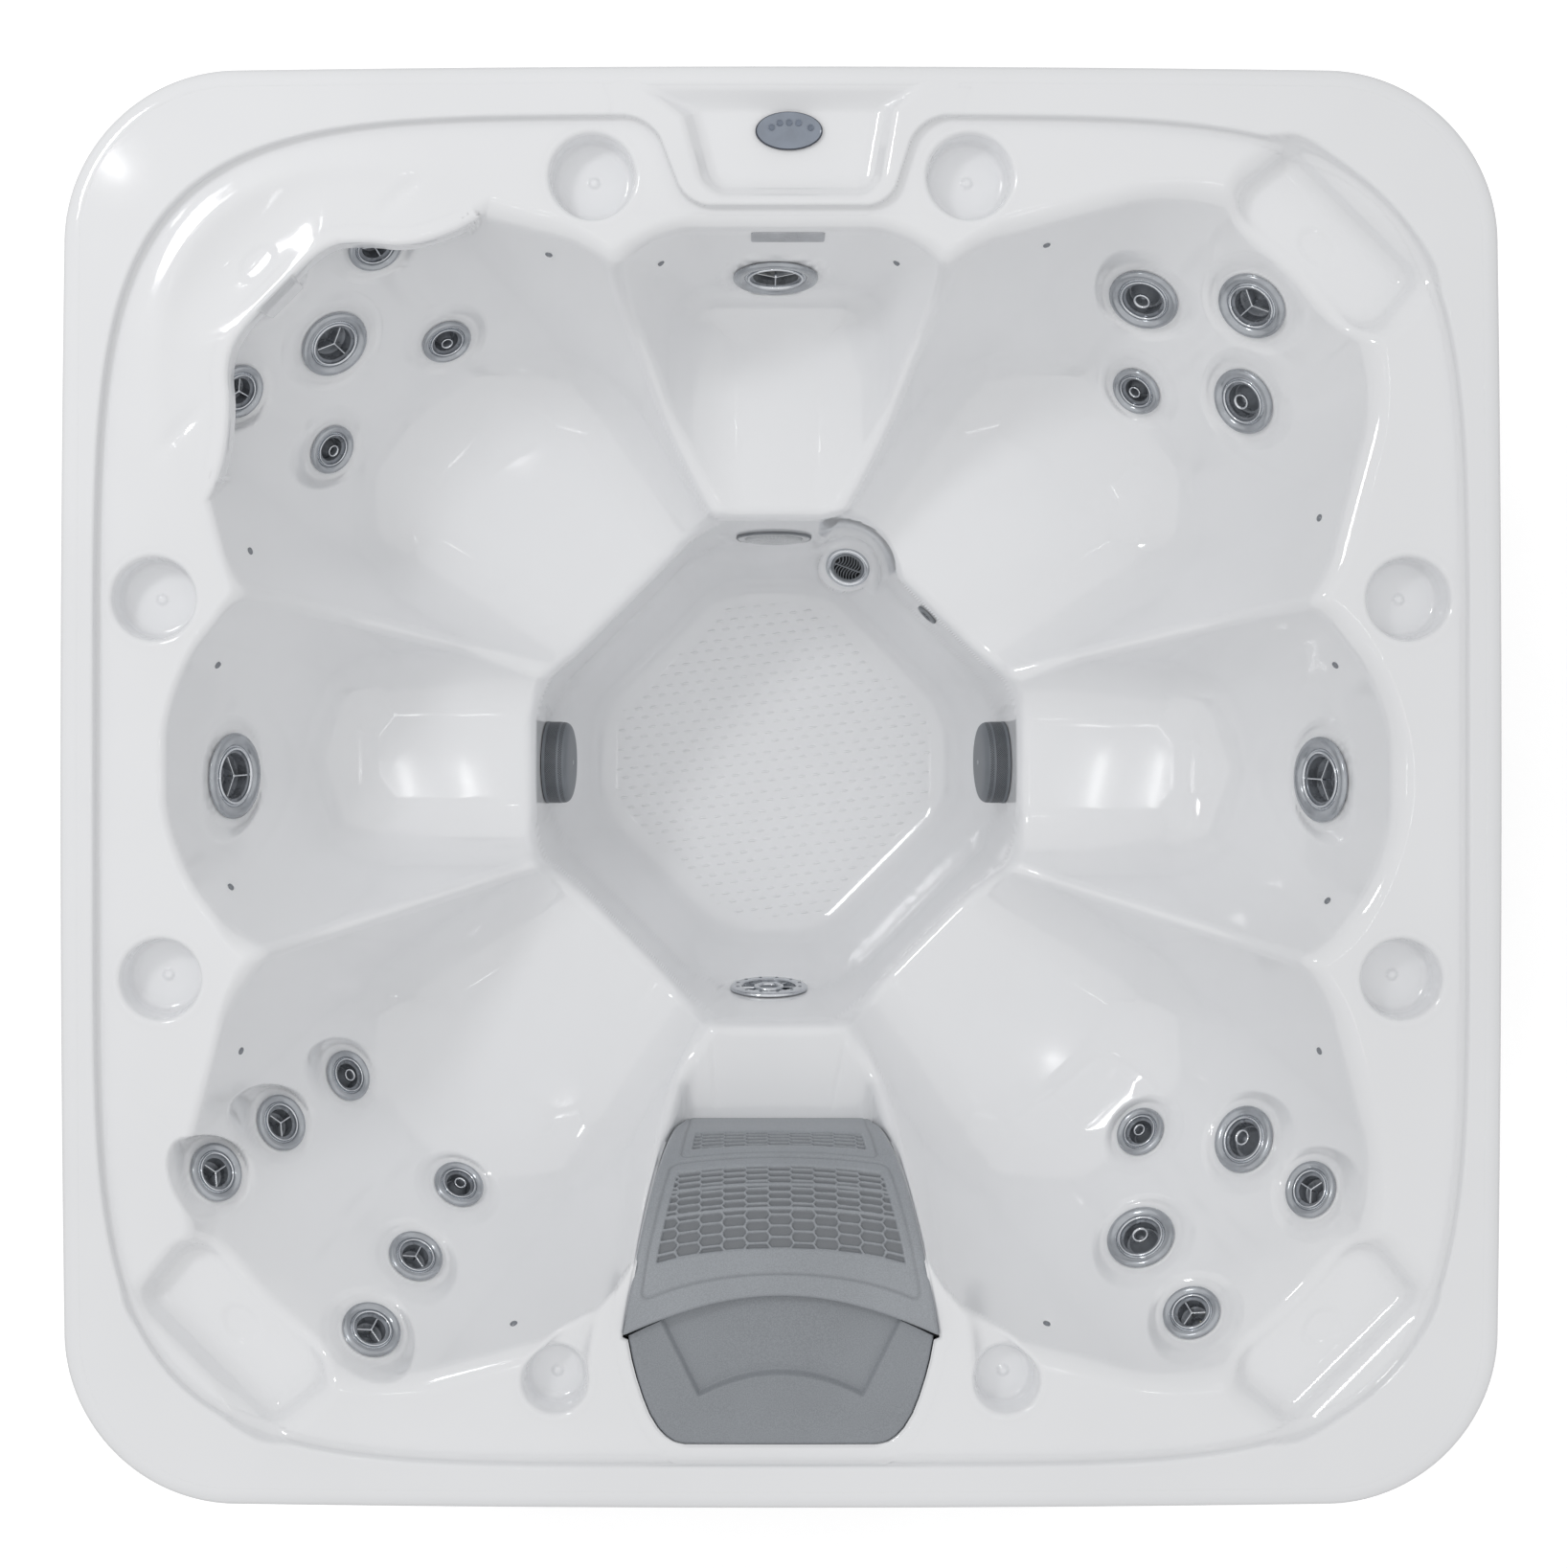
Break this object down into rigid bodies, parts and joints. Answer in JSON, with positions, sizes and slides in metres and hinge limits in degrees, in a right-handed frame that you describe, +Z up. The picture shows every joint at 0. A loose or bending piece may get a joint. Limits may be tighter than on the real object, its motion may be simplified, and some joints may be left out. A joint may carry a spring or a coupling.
{
  "type": "hot tub",
  "caption": "Square acrylic hot tub with moulded corner and side seats, an octagonal footwell, turning jets, cup holders, a filter bay, a control panel and a panelled cabinet.",
  "frame": {"origin": "on the floor under the middle of the tub", "axes": "+Z up; +Y towards the control panel side (back), -Y towards the filter and access panel (front); +X to the right seen from the front"},
  "size_m": [2.134, 2.134, 0.902],
  "materials": {
    "cabinet_grey": "grained cabinet boards",
    "plate": "pale lavender grey",
    "base_black": "textured",
    "box_paint": "powder coat",
    "panel_case": "navy grey gloss",
    "pump_black": "glass filled plastic",
    "white_pvc": "moulded PVC",
    "filter_media": "pleated polyester",
    "filter_grey": "fine grained",
    "frame_timber": "treated softwood",
    "heater_steel": "stainless tube",
    "jet_trim": "chrome with grey plastic",
    "key_caps": "gloss",
    "clear_lens": "clear moulded lens",
    "fitting_grey": "satin",
    "screws": "stainless",
    "motor_paint": "satin black",
    "fitting_chrome": "polished",
    "acrylic": "glossy cool white acrylic",
    "suction_grey": "satin grey plastic",
    "light_caps": "clear point light caps"
  },
  "bodies": {
    "tub": {"bare_plate": "plate", "base_pan": "base_black", "control_box": "box_paint", "control_panel": "panel_case", "corner_posts": "cabinet_grey", "drain_valve": "white_pvc", "filter_canister": "white_pvc", "filter_grille": "filter_grey", "frame": "frame_timber", "heater": "heater_steel", "jet_bodies": "white_pvc", "light_housing": "white_pvc", "light_lens": "clear_lens", "ozone_fitting": "fitting_grey", "pipework": "white_pvc", "pump_motor": "motor_paint", "pump_wet_end": "pump_black", "return_grille": "fitting_chrome", "shell": "acrylic", "side_panels": "cabinet_grey", "suction_cover_left": "suction_grey", "suction_cover_right": "suction_grey", "suction_fittings": "white_pvc", "waterline_lights": "light_caps"},
    "jet_back_left_centre_body": {"jet_back_left_centre": "jet_trim"},
    "jet_back_left_lumbar_inner_body": {"jet_back_left_lumbar_inner": "jet_trim"},
    "jet_back_left_lumbar_outer_body": {"jet_back_left_lumbar_outer": "jet_trim"},
    "jet_back_left_neck_inner_body": {"jet_back_left_neck_inner": "jet_trim"},
    "jet_back_left_neck_outer_body": {"jet_back_left_neck_outer": "jet_trim"},
    "jet_back_right_upper_inner_body": {"jet_back_right_upper_inner": "jet_trim"},
    "jet_back_right_neck_body": {"jet_back_right_neck": "jet_trim"},
    "jet_back_right_lumbar_body": {"jet_back_right_lumbar": "jet_trim"},
    "jet_back_right_upper_outer_body": {"jet_back_right_upper_outer": "jet_trim"},
    "jet_back_body": {"jet_back": "jet_trim"},
    "jet_left_body": {"jet_left": "jet_trim"},
    "jet_right_body": {"jet_right": "jet_trim"},
    "jet_front_left_outer_top_body": {"jet_front_left_outer_top": "jet_trim"},
    "jet_front_left_outer_middle_body": {"jet_front_left_outer_middle": "jet_trim"},
    "jet_front_left_outer_low_body": {"jet_front_left_outer_low": "jet_trim"},
    "jet_front_left_inner_low_body": {"jet_front_left_inner_low": "jet_trim"},
    "jet_front_left_inner_middle_body": {"jet_front_left_inner_middle": "jet_trim"},
    "jet_front_left_inner_top_body": {"jet_front_left_inner_top": "jet_trim"},
    "jet_front_right_lumbar_body": {"jet_front_right_lumbar": "jet_trim"},
    "jet_front_right_outer_body": {"jet_front_right_outer": "jet_trim"},
    "jet_front_right_outer_top_body": {"jet_front_right_outer_top": "jet_trim"},
    "jet_front_right_inner_body": {"jet_front_right_inner": "jet_trim"},
    "jet_front_right_inner_top_body": {"jet_front_right_inner_top": "jet_trim"},
    "jet_foot_body": {"jet_foot": "jet_trim"},
    "key_1_body": {"key_1": "key_caps"},
    "key_2_body": {"key_2": "key_caps"},
    "key_3_body": {"key_3": "key_caps"},
    "key_4_body": {"key_4": "key_caps"},
    "key_5_body": {"key_5": "key_caps"},
    "lid": {"filter_lid": "filter_grey"},
    "weir": {"weir_flap": "filter_grey"},
    "cartridge": {"filter_cartridge": "filter_media"},
    "front_access": {"access_panel": "cabinet_grey", "panel_screws": "screws"},
    "pump_rotor": {"impeller": "pump_black"},
    "cap": {"drain_cap": "pump_black"}
  },
  "joints": [
    {"name": "jet_back_left_centre_turn", "type": "hinge", "parent": "tub", "child": "jet_back_left_centre_body", "pos_m": [-0.69659, 0.68386, 0.692], "axis": [0.5647, -0.5647, 0.6018], "range_deg": [0, 90]},
    {"name": "jet_back_left_lumbar_inner_turn", "type": "hinge", "parent": "tub", "child": "jet_back_left_lumbar_inner_body", "pos_m": [-0.53502, 0.70324, 0.581], "axis": [0.3927, -0.7085, 0.5864], "range_deg": [0, 90]},
    {"name": "jet_back_left_lumbar_outer_turn", "type": "hinge", "parent": "tub", "child": "jet_back_left_lumbar_outer_body", "pos_m": [-0.71826, 0.52733, 0.594], "axis": [0.7085, -0.3927, 0.5864], "range_deg": [0, 90]},
    {"name": "jet_back_left_neck_inner_turn", "type": "hinge", "parent": "tub", "child": "jet_back_left_neck_inner_body", "pos_m": [-0.61902, 0.81972, 0.778], "axis": [0.3927, -0.7085, 0.5864], "range_deg": [0, 90]},
    {"name": "jet_back_left_neck_outer_turn", "type": "hinge", "parent": "tub", "child": "jet_back_left_neck_outer_body", "pos_m": [-0.828, 0.5996, 0.775], "axis": [0.7085, -0.3927, 0.5864], "range_deg": [0, 90]},
    {"name": "jet_back_right_upper_inner_turn", "type": "hinge", "parent": "tub", "child": "jet_back_right_upper_inner_body", "pos_m": [0.57483, 0.75649, 0.672], "axis": [-0.3927, -0.7085, 0.5864], "range_deg": [0, 90]},
    {"name": "jet_back_right_neck_turn", "type": "hinge", "parent": "tub", "child": "jet_back_right_neck_body", "pos_m": [0.72506, 0.73213, 0.764], "axis": [-0.5647, -0.5647, 0.6018], "range_deg": [0, 90]},
    {"name": "jet_back_right_lumbar_turn", "type": "hinge", "parent": "tub", "child": "jet_back_right_lumbar_body", "pos_m": [0.58713, 0.62814, 0.537], "axis": [-0.5647, -0.5647, 0.6018], "range_deg": [0, 90]},
    {"name": "jet_back_right_upper_outer_turn", "type": "hinge", "parent": "tub", "child": "jet_back_right_upper_outer_body", "pos_m": [0.73498, 0.5972, 0.661], "axis": [-0.7085, -0.3927, 0.5864], "range_deg": [0, 90]},
    {"name": "jet_back_turn", "type": "hinge", "parent": "tub", "child": "jet_back_body", "pos_m": [-0.005, 0.79033, 0.68], "axis": [0, -0.9816, 0.1908], "range_deg": [0, 90]},
    {"name": "jet_left_turn", "type": "hinge", "parent": "tub", "child": "jet_left_body", "pos_m": [-0.84824, 0.008, 0.718], "axis": [0.9272, 0, 0.3746], "range_deg": [0, 90]},
    {"name": "jet_right_turn", "type": "hinge", "parent": "tub", "child": "jet_right_body", "pos_m": [0.84541, 0.002, 0.711], "axis": [-0.9272, 0, 0.3746], "range_deg": [0, 90]},
    {"name": "jet_front_left_outer_top_turn", "type": "hinge", "parent": "tub", "child": "jet_front_left_outer_top_body", "pos_m": [-0.85688, -0.58931, 0.803], "axis": [0.7085, 0.3927, 0.5864], "range_deg": [0, 90]},
    {"name": "jet_front_left_outer_middle_turn", "type": "hinge", "parent": "tub", "child": "jet_front_left_outer_middle_body", "pos_m": [-0.78289, -0.53915, 0.68], "axis": [0.7085, 0.3927, 0.5864], "range_deg": [0, 90]},
    {"name": "jet_front_left_outer_low_turn", "type": "hinge", "parent": "tub", "child": "jet_front_left_outer_low_body", "pos_m": [-0.70062, -0.48897, 0.547], "axis": [0.7085, 0.3927, 0.5864], "range_deg": [0, 90]},
    {"name": "jet_front_left_inner_low_turn", "type": "hinge", "parent": "tub", "child": "jet_front_left_inner_low_body", "pos_m": [-0.52132, -0.67028, 0.532], "axis": [0.3927, 0.7085, 0.5864], "range_deg": [0, 90]},
    {"name": "jet_front_left_inner_middle_turn", "type": "hinge", "parent": "tub", "child": "jet_front_left_inner_middle_body", "pos_m": [-0.57272, -0.75269, 0.666], "axis": [0.3927, 0.7085, 0.5864], "range_deg": [0, 90]},
    {"name": "jet_front_left_inner_top_turn", "type": "hinge", "parent": "tub", "child": "jet_front_left_inner_top_body", "pos_m": [-0.62201, -0.8313, 0.794], "axis": [0.3927, 0.7085, 0.5864], "range_deg": [0, 90]},
    {"name": "jet_front_right_lumbar_turn", "type": "hinge", "parent": "tub", "child": "jet_front_right_lumbar_body", "pos_m": [0.5982, -0.5883, 0.51], "axis": [-0.5647, 0.5647, 0.6018], "range_deg": [0, 90]},
    {"name": "jet_front_right_outer_turn", "type": "hinge", "parent": "tub", "child": "jet_front_right_outer_body", "pos_m": [0.73838, -0.57165, 0.648], "axis": [-0.7085, 0.3927, 0.5864], "range_deg": [0, 90]},
    {"name": "jet_front_right_outer_top_turn", "type": "hinge", "parent": "tub", "child": "jet_front_right_outer_top_body", "pos_m": [0.81365, -0.62252, 0.773], "axis": [-0.7085, 0.3927, 0.5864], "range_deg": [0, 90]},
    {"name": "jet_front_right_inner_turn", "type": "hinge", "parent": "tub", "child": "jet_front_right_inner_body", "pos_m": [0.57584, -0.72944, 0.64], "axis": [-0.3927, 0.7085, 0.5864], "range_deg": [0, 90]},
    {"name": "jet_front_right_inner_top_turn", "type": "hinge", "parent": "tub", "child": "jet_front_right_inner_top_body", "pos_m": [0.63021, -0.81103, 0.775], "axis": [-0.3927, 0.7085, 0.5864], "range_deg": [0, 90]},
    {"name": "jet_foot_turn", "type": "hinge", "parent": "tub", "child": "jet_foot_body", "pos_m": [-0.011, -0.38437, 0.29], "axis": [0, 0.9962, 0.0872], "range_deg": [0, 90]},
    {"name": "key_1_press", "type": "slide", "parent": "tub", "child": "key_1_body", "axis": [0, 0, -1], "range_m": [0, 0.0008], "stiffness_N_per_m": 400, "springref_m": -0.0004},
    {"name": "key_2_press", "type": "slide", "parent": "tub", "child": "key_2_body", "axis": [0, 0, -1], "range_m": [0, 0.0008], "stiffness_N_per_m": 400, "springref_m": -0.0004},
    {"name": "key_3_press", "type": "slide", "parent": "tub", "child": "key_3_body", "axis": [0, 0, -1], "range_m": [0, 0.0008], "stiffness_N_per_m": 400, "springref_m": -0.0004},
    {"name": "key_4_press", "type": "slide", "parent": "tub", "child": "key_4_body", "axis": [0, 0, -1], "range_m": [0, 0.0008], "stiffness_N_per_m": 400, "springref_m": -0.0004},
    {"name": "key_5_press", "type": "slide", "parent": "tub", "child": "key_5_body", "axis": [0, 0, -1], "range_m": [0, 0.0008], "stiffness_N_per_m": 400, "springref_m": -0.0004},
    {"name": "filter_lid_hinge", "type": "hinge", "parent": "tub", "child": "lid", "pos_m": [0, -0.835, 0.863], "axis": [-1, 0, 0], "range_deg": [0, 95]},
    {"name": "weir_flap_hinge", "type": "hinge", "parent": "tub", "child": "weir", "pos_m": [0, -0.64, 0.64], "axis": [1, 0, 0], "range_deg": [0, 50]},
    {"name": "filter_cartridge_turn", "type": "hinge", "parent": "tub", "child": "cartridge", "pos_m": [0, -0.8, 0.3], "axis": [0, 0, 1], "range_deg": [0, 270]},
    {"name": "access_panel_slide", "type": "slide", "parent": "tub", "child": "front_access", "axis": [0, -1, 0], "range_m": [0, 0.3]},
    {"name": "impeller_spin", "type": "hinge", "parent": "tub", "child": "pump_rotor", "pos_m": [-0.35, -0.79, 0.112], "axis": [1, 0, 0], "continuous": true},
    {"name": "drain_cap_turn", "type": "hinge", "parent": "tub", "child": "cap", "pos_m": [0.56, -1.03, 0.07], "axis": [0, -1, 0], "range_deg": [0, 360]}
  ]
}
